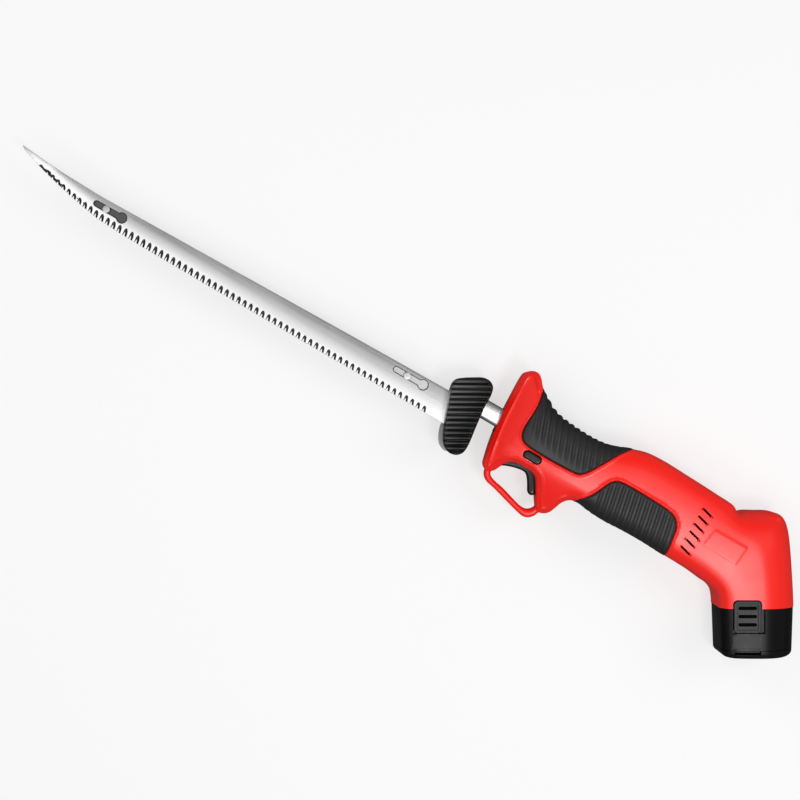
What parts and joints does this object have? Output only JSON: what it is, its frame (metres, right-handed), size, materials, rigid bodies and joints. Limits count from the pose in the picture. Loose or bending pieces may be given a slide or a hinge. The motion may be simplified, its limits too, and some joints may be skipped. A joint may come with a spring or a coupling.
{
  "type": "cordless electric fillet knife",
  "caption": "Cordless electric fillet knife with two toothed reciprocating blades, ribbed grips, trigger guard and a slide-in battery.",
  "frame": {"origin": "middle of the object's box, on the plane it lies on", "axes": "+X from blade tip to battery, +Y towards the top of the tool, +Z out of its left side, which faces up"},
  "size_m": [0.568, 0.0932, 0.045],
  "materials": {
    "red_plastic": "satin moulded plastic",
    "soft_grip": "matt soft overmould",
    "black_plastic": "fine texture",
    "blade_steel": "brushed",
    "bright_steel": "polished",
    "plain_steel": "as made",
    "bush_bronze": "sintered",
    "gear_nylon": "natural nylon",
    "rotor": "wound laminations",
    "magnet": "sintered ferrite",
    "cell_sleeve": "shrink sleeve",
    "plunger_red": "moulded",
    "lead_red": "insulation",
    "lead_black": "insulation",
    "lead_blue": "insulation"
  },
  "bodies": {
    "handle": {"housing_left": "red_plastic", "housing_right": "red_plastic", "upper_grip_left": "soft_grip", "upper_grip_right": "soft_grip", "lower_grip_left": "soft_grip", "lower_grip_right": "soft_grip", "housing_screw_1": "plain_steel", "housing_screw_2": "plain_steel", "housing_screw_3": "plain_steel", "housing_screw_4": "plain_steel", "housing_screw_5": "plain_steel", "housing_screw_6": "plain_steel", "housing_screw_7": "plain_steel", "gear_frame": "plain_steel", "axle_bush_left": "bush_bronze", "axle_bush_right": "bush_bronze", "nose_guide": "black_plastic", "motor_can": "plain_steel", "motor_end_cap": "black_plastic", "motor_magnet_upper": "magnet", "motor_magnet_lower": "magnet", "motor_front_bush": "bush_bronze", "switch_body": "black_plastic", "trigger_pin": "plain_steel", "trigger_spring": "plain_steel", "contact_block": "black_plastic", "lead_feed": "lead_red", "lead_motor": "lead_black", "lead_switched": "lead_blue"},
    "motor_rotor": {"motor_armature": "rotor", "worm_shaft": "plain_steel"},
    "wheel": {"crank_wheel": "gear_nylon", "wheel_axle": "plain_steel"},
    "left_drive": {"drive_bar_left": "bright_steel"},
    "right_drive": {"drive_bar_right": "bright_steel"},
    "left_blade": {"blade_left": "blade_steel", "collar_left": "black_plastic", "blade_catch_left": "plain_steel"},
    "right_blade": {"blade_right": "blade_steel", "collar_right": "black_plastic", "blade_catch_right": "plain_steel", "front_rivet": "bright_steel", "rear_rivet": "bright_steel"},
    "trigger_lever": {"trigger": "black_plastic"},
    "plunger": {"switch_plunger": "plunger_red"},
    "lock_bolt": {"lock_button": "black_plastic"},
    "battery": {"battery_shell": "black_plastic", "battery_base": "black_plastic", "battery_head": "black_plastic", "battery_cell_1": "cell_sleeve", "battery_cell_2": "cell_sleeve", "battery_cell_3": "cell_sleeve", "latch_spring_left": "plain_steel", "latch_spring_right": "plain_steel"},
    "left_latch": {"latch_button_left": "black_plastic"},
    "right_latch": {"latch_button_right": "black_plastic"}
  },
  "joints": [
    {"name": "motor_spin", "type": "hinge", "parent": "handle", "child": "motor_rotor", "pos_m": [0.142, 0.01963, 0.0225], "axis": [1, 0, 0], "range_deg": [-780, 780]},
    {"name": "wheel_turn", "type": "hinge", "parent": "handle", "child": "wheel", "pos_m": [0.1165, 0.00563, 0.0225], "axis": [0, 0, 1], "range_deg": [-80, 80]},
    {"name": "left_blade_stroke", "type": "slide", "parent": "handle", "child": "left_drive", "axis": [1, 0, 0], "range_m": [-0.00318, 0.00318]},
    {"name": "right_blade_stroke", "type": "slide", "parent": "handle", "child": "right_drive", "axis": [1, 0, 0], "range_m": [-0.0032, 0.0032]},
    {"name": "left_blade_pull", "type": "slide", "parent": "left_drive", "child": "left_blade", "axis": [-1, 0, 0], "range_m": [0, 0.024]},
    {"name": "right_blade_pull", "type": "slide", "parent": "right_drive", "child": "right_blade", "axis": [-1, 0, 0], "range_m": [0, 0.024]},
    {"name": "trigger_press", "type": "hinge", "parent": "handle", "child": "trigger_lever", "pos_m": [0.0748, -0.00287, 0.0225], "axis": [0, 0, 1], "range_deg": [0, 8], "stiffness_Nm_per_rad": 0.05, "springref_deg": -11.46},
    {"name": "plunger_press", "type": "slide", "parent": "handle", "child": "plunger", "axis": [1, 0, 0], "range_m": [0, 0.0029]},
    {"name": "lock_slide", "type": "slide", "parent": "handle", "child": "lock_bolt", "axis": [0, 0, 1], "range_m": [-0.0025, 0]},
    {"name": "battery_slide", "type": "slide", "parent": "handle", "child": "battery", "axis": [0.5, -0.866, 0], "range_m": [0, 0.06]},
    {"name": "left_latch_press", "type": "slide", "parent": "battery", "child": "left_latch", "axis": [0, 0, -1], "range_m": [0, 0.0009], "stiffness_N_per_m": 600, "springref_m": -0.002, "deforming": ["latch_spring_left"]},
    {"name": "right_latch_press", "type": "slide", "parent": "battery", "child": "right_latch", "axis": [0, 0, 1], "range_m": [0, 0.0009], "stiffness_N_per_m": 600, "springref_m": -0.002, "deforming": ["latch_spring_right"]}
  ],
  "couplings": [
    {"joint": "motor_spin", "follows": "left_blade_stroke", "rad_per_m": -4273.5},
    {"joint": "wheel_turn", "follows": "left_blade_stroke", "rad_per_m": -427.35},
    {"joint": "right_blade_stroke", "follows": "left_blade_stroke", "ratio": -1},
    {"joint": "right_blade_pull", "follows": "left_blade_pull", "ratio": 1},
    {"joint": "plunger_press", "follows": "trigger_press", "m_per_rad": 0.0206}
  ]
}
